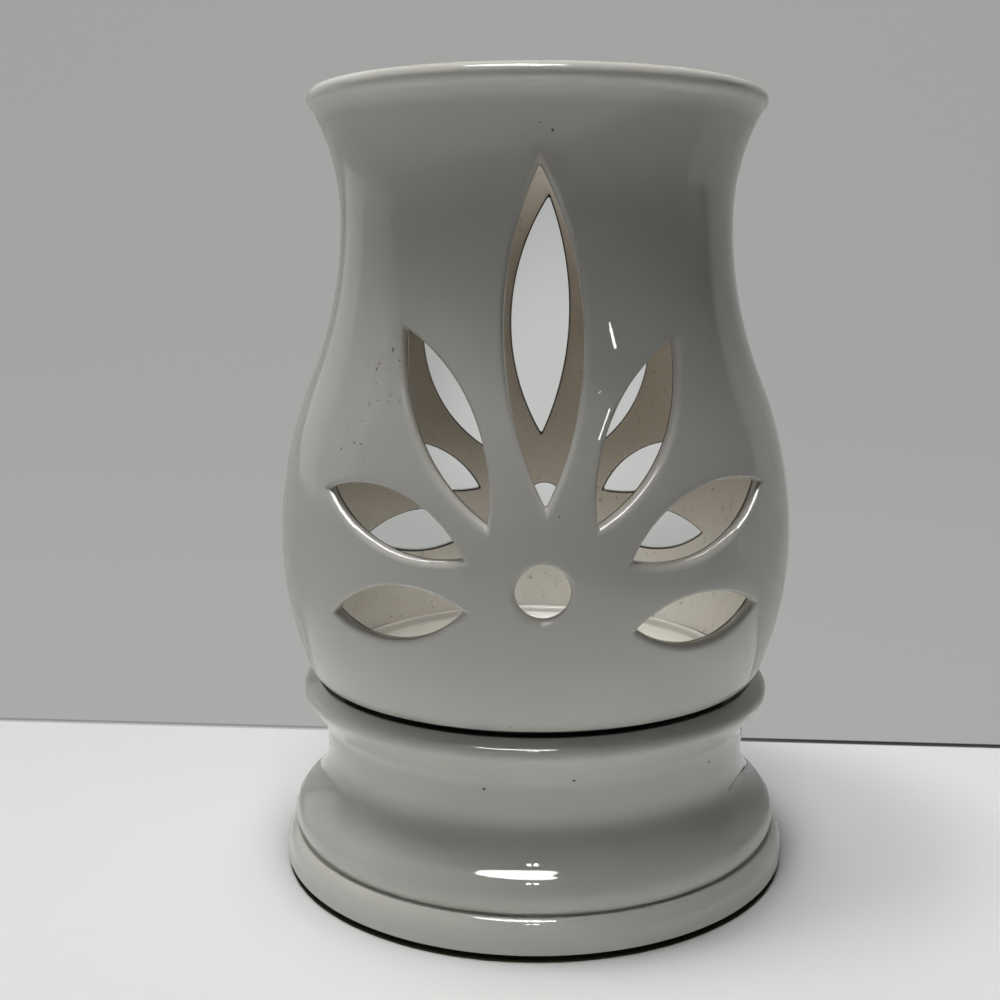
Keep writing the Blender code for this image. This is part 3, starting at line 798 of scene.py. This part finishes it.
def makeBase():
    form = baseForm
    wall = form["wall"]
    top = form["height"]
    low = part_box("base")[0].z
    # the hollow of the waist is the arc that meets both the waist's straight side and the shoulder
    waist = Vector((form["waistRadius"], form["waistBottom"]))
    lean = math.atan2(form["waistTopRadius"] - waist.x, form["waistTop"] - waist.y)
    steep = math.radians(form["shoulderTurn"])
    outward = Vector((math.cos(steep), math.sin(steep)))
    shoulder = Vector(form["shoulderCentre"]) + form["shoulderCurve"] * outward
    sideways = Vector((math.cos(lean), -math.sin(lean)))
    hollow = (shoulder - waist).dot(sideways) / (1.0 - math.cos(steep + lean))
    middle = arcPoints(shoulder + hollow * outward, hollow,
                       180.0 - math.degrees(lean), 180.0 + form["shoulderTurn"], 24)
    middle += arcPoints(form["shoulderCentre"], form["shoulderCurve"],
                        form["shoulderTurn"], form["torusTurn"], 12)[1:]
    middle += arcPoints(form["torusCentre"], form["torusCurve"], form["torusTurn"], form["torusEnd"], 18)[1:]
    upper = roundedProfile((
        (form["ringRadius"], top, 0.0),
        (form["seatRadius"], top, 0.0006),
        (form["lipRadius"], form["lipHeight"], form["lipRound"]),
        (form["waistTopRadius"], form["waistTop"], form["waistTopRound"]),
        (*middle[0], 0.0),
    ), form["cornerSteps"])
    flange = arcPoints(form["flangeCentre"], form["flangeCurve"], form["flangeTurn"], 0.0, 14)
    lower = roundedProfile((
        middle[-1],
        (form["grooveRadius"], form["grooveHeight"], form["grooveRound"]),
        (*flange[0], 0.0),
    ), 5)[1:]
    lower += flange[1:]
    foot = roundedProfile((
        (*flange[-1], 0.0),
        (form["footRadius"], 0.0, form["footEdge"]),
        (form["footRadius"] - wall, 0.0, 0.0),
    ), 6)
    outside = upper[:-1] + middle + lower[:-1] + foot[1:]
    plateLow = top - form["plate"]
    wellOutside = form["wellRadius"] + form["wellWall"]
    wellLow = top - form["wellDepth"] - form["wellWall"]
    inside = roundedProfile((
        (form["footRadius"] - wall, 0.0, 0.0),
        (form["grooveRadius"] - wall, form["grooveHeight"], 0.0),
        (form["hollowFoot"][0] - wall, form["hollowFoot"][1], form["hollowFootRound"]),
        (waist.x - wall, waist.y, form["hollowWaistRound"]),
        (form["waistTopRadius"] - wall, plateLow, 0.5 * form["waistTopRound"]),
        (wellOutside, plateLow, form["wellWall"]),
        (wellOutside, wellLow, form["wellWall"]),
        (0.0, wellLow, 0.0),
    ), 5)
    wellFloor = top - form["wellDepth"]
    ringInner = form["ringRadius"] - form["ringWidth"]
    seat = roundedProfile((
        (0.0, wellFloor, 0.0),
        (form["wellRadius"], wellFloor, 0.0008),
        (form["wellRadius"], top, 0.0012),
        (ringInner, top, 0.0010),
        (ringInner + form["ringDraft"], top + form["ringHeight"], 0.0010),
        (form["ringRadius"] - form["ringDraft"], top + form["ringHeight"], 0.0010),
        (form["ringRadius"], top, 0.0),
    ), 5)
    build = spunMesh(seat[:-1] + outside + inside[1:], low, form["turns"])
    finishPiece("baseBody", build, glazeMaterial("baseGlaze", False), "base", "base_glaze", "base")


makeBase()

# Felt pad under the foot

feltLook = {
    "dark": (0.006, 0.005, 0.003, 1.0),
    "light": (0.022, 0.018, 0.010, 1.0),
    "edge": (0.070, 0.061, 0.027, 1.0),      # the edge is olive low down; above it stays near-black, painted shade under the foot
    "edgeBand": (0.0008, 0.0003),
    "edgeShare": 0.8,
    "fibreScale": 2600.0,
    "fibreBend": 1.5,
    "fibreBand": (0.35, 0.68),
    "fibreHeight": 0.0002,
    "tuftScale": 380.0,
    "tuftBand": (0.30, 0.70),
    "tuftShare": 0.5,
}
padForm = {
    "past": 0.0009,          # how far the felt reaches past the solid's disc
    "round": 0.0009,
    "shoulder": 0.0008,
    "fray": 0.00012,
    "frayScale": 900.0,
    "turns": 288,
}


def feltMaterial():
    look = feltLook
    material, tree, shader, place = newMaterial("padFelt")
    fibres = cloud(tree, place, look["fibreScale"], 5.0, 0.7, look["fibreBend"])
    tufts = fade(tree, cloud(tree, place, look["tuftScale"], 3.0), *look["tuftBand"], 0.0, look["tuftShare"])
    colour = mixColours(tree, fade(tree, fibres, *look["fibreBand"]), look["dark"], look["light"])
    colour = mixColours(tree, tufts, colour, look["dark"])
    # painted shade: the edge stays near-black above, under the foot
    low = fade(tree, heightOf(tree, place), *look["edgeBand"], 0.0, look["edgeShare"])
    setInputs(tree, shader, {
        "Base Color": mixColours(tree, low, colour, look["edge"]),
        "Normal": raised(tree, fibres, look["fibreHeight"]),
        "Roughness": 0.95,
        "Specular IOR Level": 0.1,
        "Sheen Weight": 0.02,
        "Sheen Roughness": 0.6,
    })
    return material


def makePad():
    form = padForm
    low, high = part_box("base_pad")
    radius = high.x + form["past"]
    build = spunMesh(roundedProfile((
        (0.0, high.z, 0.0),
        (radius - form["round"], high.z, 0.0002),
        (radius, high.z - form["shoulder"], 0.0003),
        (radius, low.z, 0.0001),
        (0.0, low.z, 0.0),
    ), 3), 0.0, form["turns"])
    for vert in build.verts:
        if math.hypot(vert.co.x, vert.co.y) > 0.9 * radius:
            fray = form["fray"] * (noise.noise(vert.co * form["frayScale"]) - 1.0)
            vert.co.x *= 1.0 + fray / radius
            vert.co.y *= 1.0 + fray / radius
    finishPiece("feltPad", build, feltMaterial(), "base", "pad_felt", "base_pad")


makePad()

# Tealight

candleForm = {
    "cupRadius": 0.0191,
    "cupFloor": 0.0184,
    "cupHeight": 0.0160,
    "sheet": 0.0004,
    "bead": 0.0006,
    "flutes": 60,
    "fluteDepth": 0.00010,
    "waxHeight": 0.0126,
    "clearance": 0.0003,
    "wickRadius": 0.0008,
    "wickLean": 0.0013,
    "wickTurns": 3.0,
    "tinRadius": 0.0062,
    "tinNeck": 0.0050,
    "panelOuter": 0.0150,    # ring pressed into the cup's floor
    "panelInner": 0.0116,
    "panelSlope": 0.0004,
    "panelDepth": 0.0002,
    "poolDepth": 0.0007,     # the wax dips towards the wick
    "poolRadius": 0.0035,
}
foilLook = {
    "dull": (0.70, 0.70, 0.71, 1.0),
    "bright": (0.84, 0.84, 0.85, 1.0),
    "drawn": (1.0, 1.0, 0.06),                 # the lines of the drawing run up the side
    "lineScale": 1400.0,
    "lineHeight": 0.00001,
    "dentScale": 240.0,
    "dentHeight": 0.00008,
    "roughness": (0.20, 0.38),
}


def foilMaterial():
    look = foilLook
    material, tree, shader, place = newMaterial("cupFoil")
    drawn = addNode(tree, "Mapping", {"Vector": place, "Scale": look["drawn"]}).outputs[0]
    lines = cloud(tree, drawn, look["lineScale"], 4.0)
    dents = cloud(tree, place, look["dentScale"], 2.0)
    setInputs(tree, shader, {
        "Base Color": mixColours(tree, fade(tree, dents, 0.3, 0.7), look["dull"], look["bright"]),
        "Roughness": fade(tree, lines, 0.3, 0.7, *look["roughness"]),
        "Normal": raised(tree, dents, look["dentHeight"], raised(tree, lines, look["lineHeight"])),
        "Metallic": 1.0,
    })
    return material


def makeCup():
    form = candleForm
    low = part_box("tealight_cup")[0].z
    sheet = form["sheet"]
    beadBottom = form["cupHeight"] - 2.0 * form["bead"]
    bead = arcPoints((form["cupRadius"], form["cupHeight"] - form["bead"]), form["bead"], 180.0, -90.0, 10)
    floor = form["cupFloor"]
    outside = roundedProfile((
        bead[-1],
        (form["cupRadius"], beadBottom, 0.0),
        (form["cupRadius"] - 0.0001, beadBottom - 0.0008, 0.0),
        (floor, 0.0, 0.0010),
        (form["panelOuter"], 0.0, 0.0),
        (form["panelOuter"] - form["panelSlope"], form["panelDepth"], 0.0),
        (form["panelInner"] + form["panelSlope"], form["panelDepth"], 0.0),
        (form["panelInner"], 0.0, 0.0),
        (0.0, 0.0, 0.0),
    ), 5)
    inside = roundedProfile((
        (0.0, sheet, 0.0),
        (floor - sheet, sheet, 0.0006),
        (form["cupRadius"] - sheet, beadBottom, 0.0),
        (form["cupRadius"] - form["bead"], form["cupHeight"] - form["bead"], 0.0),
    ), 5)
    build = spunMesh(inside[:-1] + bead + outside[1:], low, 4 * form["flutes"])
    for vert in build.verts:
        radius = math.hypot(vert.co.x, vert.co.y)
        height = vert.co.z - low
        if radius > floor - 0.0004 and 0.0012 < height < beadBottom - 0.0008:
            angle = math.atan2(vert.co.y, vert.co.x)
            push = form["fluteDepth"] * 0.5 * (1.0 - math.cos(form["flutes"] * angle))
            vert.co.x *= 1.0 - push / radius
            vert.co.y *= 1.0 - push / radius
    finishPiece("tealightCup", build, foilMaterial(), "tealight", "cup_foil", "tealight_cup")


waxLook = {
    "deep": (0.82, 0.79, 0.71, 1.0),
    "pale": (0.89, 0.87, 0.81, 1.0),
    "mottleScale": 190.0,
    "mottleHeight": 0.0001,
    "grainScale": 900.0,
    "grainHeight": 0.00004,
    "roughness": (0.34, 0.50),
    "soak": (0.004, 0.003, 0.002),
}


def waxMaterial():
    look = waxLook
    material, tree, shader, place = newMaterial("candleWax")
    mottle = cloud(tree, place, look["mottleScale"], 4.0, 0.6, 0.8)
    grains = addNode(tree, "TexVoronoi", {"Vector": place, "Scale": look["grainScale"]}).outputs["Distance"]
    setInputs(tree, shader, {
        "Base Color": mixColours(tree, fade(tree, mottle, 0.35, 0.65), look["deep"], look["pale"]),
        "Roughness": fade(tree, mottle, 0.3, 0.7, *look["roughness"]),
        "Normal": raised(tree, mottle, look["mottleHeight"], raised(tree, grains, look["grainHeight"])),
        "Subsurface Weight": 0.25,
        "Subsurface Radius": look["soak"],
        "Subsurface Scale": 1.0,
    })
    return material


def makeWax():
    form = candleForm
    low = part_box("tealight_wax")[0].z
    gap = form["clearance"]
    high = form["waxHeight"]
    foot = form["cupFloor"] - form["sheet"] - gap
    side = foot + (form["cupRadius"] - form["cupFloor"]) / form["cupHeight"] * high
    bore = form["wickRadius"] + gap
    neckBore = bore + form["sheet"] + gap
    tinRoom = form["tinRadius"] + gap
    tinTop = form["sheet"] + gap
    neckTop = form["tinNeck"] + gap
    build = spunMesh(roundedProfile((
        (bore, high - form["poolDepth"], 0.0),
        (bore + 0.0009, high - 0.0006, 0.0006),
        (bore + form["poolRadius"], high - 0.0001, 0.0030),
        (side - 0.0016, high - 0.0001, 0.0),
        (side, high, 0.0006),
        (foot, 0.0, 0.0009),
        (tinRoom, 0.0, 0.0),
        (tinRoom, tinTop, 0.0),
        (neckBore, tinTop, 0.0),
        (neckBore, neckTop, 0.0),
        (bore, neckTop, 0.0),
        (bore, high - form["poolDepth"], 0.0),
    ), 6)[:-1], low, 144, ring=True)
    finishPiece("waxSlug", build, waxMaterial(), "tealight", "candle_wax", "tealight_wax")


def cottonMaterial():
    material, tree, shader, place = newMaterial("wickCotton")
    threads = addNode(tree, "TexWave", {"Vector": place, "Scale": 900.0, "Distortion": 3.0, "Detail": 3.0},
                      bands_direction="DIAGONAL").outputs["Fac"]
    setInputs(tree, shader, {
        "Base Color": mixColours(tree, threads, (0.58, 0.54, 0.45, 1.0), (0.84, 0.81, 0.73, 1.0)),
        "Normal": raised(tree, threads, 0.00008),
        "Roughness": 0.8,
        "Sheen Weight": 0.2,
    })
    return material


def makeWick():
    # three strands twisted together: one lobed ring is drawn up, turned a little at each step
    form = candleForm
    low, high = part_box("wick")
    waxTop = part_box("tealight_wax")[1].z
    build = bmesh.new()
    ring = bmesh.ops.create_circle(build, cap_ends=True, segments=24, radius=form["wickRadius"])["verts"]
    for vert in ring:
        angle = math.atan2(vert.co.y, vert.co.x)
        vert.co *= 0.80 + 0.18 * abs(math.cos(1.5 * angle))
    bmesh.ops.translate(build, verts=ring, vec=(0.0, 0.0, low.z))
    steps = 60
    rise = (high.z - low.z - 0.0003) / steps
    centre = Vector((0.0, 0.0, low.z))
    top = next(iter(build.faces))
    for step in range(1, steps + 3):
        last = step > steps
        pushed = bmesh.ops.extrude_face_region(build, geom=[top, *top.edges])["geom"]
        verts = [item for item in pushed if isinstance(item, bmesh.types.BMVert)]
        grown = [item for item in pushed if isinstance(item, bmesh.types.BMFace)]
        top = grown[0]
        height = centre.z + (0.00012 if last else rise)
        share = max(0.0, (height - waxTop) / (high.z - waxTop))
        following = Vector((form["wickLean"] * share ** 2, 0.0, height))
        bmesh.ops.translate(build, verts=verts, vec=following - centre)
        bmesh.ops.rotate(build, verts=verts, cent=following, matrix=Matrix.Rotation(
            2.0 * math.pi * form["wickTurns"] / steps, 3, "Z"))
        if last:
            bmesh.ops.scale(build, verts=verts, vec=(0.72, 0.72, 1.0), space=Matrix.Translation(-following))
        centre = following
    bmesh.ops.recalc_face_normals(build, faces=build.faces)
    finishPiece("wickCord", build, cottonMaterial(), "tealight", "wick_cotton", "wick")


def tinMaterial():
    material, tree, shader, place = newMaterial("holderTin")
    smears = cloud(tree, place, 700.0, 4.0, 0.6, 1.0)
    dull, bright = (0.50, 0.50, 0.50, 1.0), (0.68, 0.68, 0.67, 1.0)
    setInputs(tree, shader, {
        "Base Color": mixColours(tree, fade(tree, smears, 0.35, 0.65), dull, bright),
        "Roughness": fade(tree, smears, 0.3, 0.7, 0.26, 0.46),
        "Normal": raised(tree, smears, 0.00002),
        "Metallic": 1.0,
    })
    return material


def makeTin():
    form = candleForm
    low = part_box("wick_holder")[0].z
    bore = form["wickRadius"] + form["clearance"]
    neck = bore + form["sheet"]
    sheet = form["sheet"]
    build = spunMesh(roundedProfile((
        (0.0, sheet, 0.0),
        (bore, sheet, 0.0),
        (bore, form["tinNeck"], 0.00012),
        (neck, form["tinNeck"], 0.00012),
        (neck, sheet, 0.0006),
        (form["tinRadius"], sheet, 0.00015),
        (form["tinRadius"], 0.0, 0.00015),
        (0.0, 0.0, 0.0),
    ), 4), low, 96)
    finishPiece("wickTin", build, tinMaterial(), "tealight", "holder_tin", "wick_holder")


makeCup()
makeWax()
makeWick()
makeTin()

# Floor and backdrop

stageLook = {
    "pale": (0.800, 0.808, 0.800, 1.0),
    "paleRightLit": (0.920, 0.930, 0.925, 1.0),
    "line": (0.010, 0.010, 0.009, 1.0),        # painted shade in the gap where table and wall meet
    "lineWidth": 0.0027,
    "grey": (0.370, 0.378, 0.368, 1.0),
    "beyond": (0.260, 0.260, 0.256, 1.0),
    "seenGrey": (0.412, 0.420, 0.408, 1.0),
    "seenShare": 0.85,       # how much of the grey backdrop shows as its own colour, whatever light falls on it
    "wallLightPool": (0.590, 0.598, 0.585, 1.0),
    "patchPlace": (0.03, 0.95, 0.10),
    "patchReach": (0.19, 0.62, 0.55),
    "changeAt": 0.0915,      # how far behind the lamp the pale surface gives way to the grey
    "changeSlant": 0.06,
    "changeWidth": 0.0012,
    "frontEnd": -0.55,
    "sideEnd": 0.42,
    "sideSlant": -0.545,
    "endWidth": 0.02,
    "paleBand": (0.02, 0.16),                  # painted light: from left to right the table is painted paler, against lamps that stand on the left
    "lineBand": (-0.05, 0.12),
    "lineShare": (0.35, 0.95),                 # and the dark line stronger
    "patchBand": (1.0, 0.45),
    "halfWidth": 3.0,
    "front": -2.5,
    "bendFrom": 0.9,
    "bendCurve": 0.6,
    "high": 3.0,
}


def makeStage():
    look = stageLook
    build = bmesh.new()
    bend = look["bendCurve"]
    profile = [(look["front"], 0.0), (look["bendFrom"], 0.0)]
    profile += arcPoints((look["bendFrom"], bend), bend, -90.0, 0.0, 16)[1:]
    profile += [(look["bendFrom"] + bend, look["high"])]
    verts = [build.verts.new((-look["halfWidth"], y, z)) for y, z in profile]
    edges = [build.edges.new(pair) for pair in zip(verts, verts[1:])]
    pushed = bmesh.ops.extrude_edge_only(build, edges=edges)["geom"]
    bmesh.ops.translate(build, verts=[item for item in pushed if isinstance(item, bmesh.types.BMVert)],
                        vec=(2.0 * look["halfWidth"], 0.0, 0.0))
    mesh = bpy.data.meshes.new("backdrop")
    bmesh.ops.recalc_face_normals(build, faces=build.faces)
    build.to_mesh(mesh)
    build.free()
    for face in mesh.polygons:
        face.use_smooth = True
    backdrop = bpy.data.objects.new("backdrop", mesh)
    scene.collection.objects.link(backdrop)
    material, tree, shader, everyPlace = newMaterial("backdropPaint")
    place = addNode(tree, "SeparateXYZ", {0: everyPlace}).outputs
    line = calculate(tree, "MULTIPLY_ADD", place["X"], look["changeSlant"], place["Y"])
    behind = fade(tree, line, look["changeAt"] - look["changeWidth"], look["changeAt"] + look["changeWidth"])
    side = calculate(tree, "MULTIPLY_ADD", place["Y"], look["sideSlant"], place["X"])
    ends = calculate(tree, "MAXIMUM",
                     fade(tree, line, look["frontEnd"] + look["endWidth"], look["frontEnd"] - look["endWidth"]),
                     fade(tree, side, look["sideEnd"] - look["endWidth"], look["sideEnd"] + look["endWidth"]))
    table = mixColours(tree, fade(tree, place["X"], *look["paleBand"]), look["pale"], look["paleRightLit"])
    colour = mixColours(tree, ends, table, look["beyond"])
    offLine = calculate(tree, "ABSOLUTE", calculate(tree, "SUBTRACT", line, look["changeAt"]))
    gap = calculate(tree, "MULTIPLY", fade(tree, offLine, look["lineWidth"], 0.5 * look["lineWidth"]),
                    fade(tree, place["X"], *look["lineBand"], *look["lineShare"]))
    colour = mixColours(tree, gap, mixColours(tree, behind, colour, look["grey"]), look["line"])
    setInputs(tree, shader, {"Base Color": colour, "Roughness": 0.6})
    # beyond the line the wall is seen in its own colour, with a painted pool of light behind the lamp
    away = addNode(tree, "VectorMath", {0: everyPlace, 1: look["patchPlace"]}, operation="SUBTRACT").outputs[0]
    away = addNode(tree, "VectorMath", {0: away, 1: look["patchReach"]}, operation="DIVIDE").outputs[0]
    away = addNode(tree, "VectorMath", {0: away}, operation="LENGTH").outputs["Value"]
    seen = mixColours(tree, fade(tree, away, *look["patchBand"]), look["seenGrey"], look["wallLightPool"])
    seen = mixColours(tree, gap, seen, look["line"])
    glow = addNode(tree, "Emission", {"Color": seen, "Strength": 1.0}).outputs[0]
    path = addNode(tree, "LightPath")
    straight = calculate(tree, "MAXIMUM", path.outputs["Is Camera Ray"], path.outputs["Is Glossy Ray"])
    straight = calculate(tree, "MAXIMUM", straight, path.outputs["Is Transmission Ray"])
    share = calculate(tree, "MULTIPLY", calculate(tree, "MULTIPLY", straight, behind), look["seenShare"])
    both = addNode(tree, "MixShader", {0: share, 1: shader.outputs[0], 2: glow})
    tree.links.new(both.outputs[0], tree.nodes["Material Output"].inputs["Surface"])
    mesh.materials.append(material)


makeStage()
print("floor and backdrop made")

# Light: a dim room, soft lamps that the gloss doesn't show, and lamps that only the gloss shows

roomLight = {
    "left": 0.04,
    "behind": 0.04,
    "everywhere": 0.03,
}
lamps = {
    # name: place, point it looks at, width, height, watts
    "overhead": ((0.0, 0.0, 1.20), (0.0, 0.0, 0.10), 0.17, 0.17, 4.5),
    "overheadFront": ((0.0, -0.22, 1.10), (0.0, 0.0, 0.10), 0.17, 0.17, 2.8),
    "overheadLeft": ((-0.22, -0.05, 1.10), (0.0, 0.0, 0.10), 0.17, 0.17, 3.0),
    "leftBack": ((-0.80, 0.70, 0.90), (0.0, 0.0, 0.10), 0.80, 0.80, 1.7),
    "left": ((-0.90, 0.0, 0.90), (0.0, 0.0, 0.10), 0.80, 0.80, 1.1),
    "leftFront": ((-0.90, -0.80, 0.35), (0.0, 0.0, 0.10), 0.70, 0.70, 0.4),
}
# lamps that only the gloss shows, with their shape last
glints = {
    "glintBroad": ((-0.051, -0.195, 0.560), (-0.014, -0.07, 0.03), 0.26, 0.13, 1.6, "ELLIPSE"),
    "glintLeft": ((-0.095, -1.593, 2.605), (0.0, -0.07, 0.02), 0.09, 0.30, 1.6, "ELLIPSE"),
    "glintRight": ((0.040, -1.593, 2.605), (0.0, -0.07, 0.02), 0.09, 0.30, 1.6, "ELLIPSE"),
    "window": ((-1.228, 0.907, 0.72), (0.0, 0.0, 0.10), 2.60, 1.40, 4.4, "RECTANGLE"),
}


def makeRoom():
    world = bpy.data.worlds.new("room")
    scene.world = world
    world.use_nodes = True
    tree = world.node_tree
    ways = addNode(tree, "SeparateXYZ", {0: addNode(tree, "TexCoord").outputs["Generated"]})
    total = roomLight["everywhere"]
    for way, axis, sign in (("left", "X", -1.0), ("behind", "Y", 1.0)):
        part = calculate(tree, "MAXIMUM", calculate(tree, "MULTIPLY", ways.outputs[axis], sign), 0.0)
        total = calculate(tree, "MULTIPLY_ADD", part, roomLight[way], total)
    background = tree.nodes["Background"]
    tree.links.new(total, background.inputs["Strength"])
    background.inputs["Color"].default_value = (1.0, 1.0, 1.0, 1.0)


def makeLamp(name, place, target, width, height, watts, shape="RECTANGLE"):
    data = bpy.data.lights.new(name, "AREA")
    data.shape = shape
    data.size = width
    data.size_y = height
    data.energy = watts
    lamp = bpy.data.objects.new(name, data)
    scene.collection.objects.link(lamp)
    way = Vector(target) - Vector(place)
    lamp.matrix_world = Matrix.Translation(place) @ way.to_track_quat("-Z", "Y").to_matrix().to_4x4()
    return lamp


makeRoom()
for lampName, lampPlace in lamps.items():
    makeLamp(lampName, *lampPlace).visible_glossy = False
for lampName, lampPlace in glints.items():
    glint = makeLamp(lampName, *lampPlace)
    glint.visible_diffuse = False
    glint.visible_camera = False
print("light set")
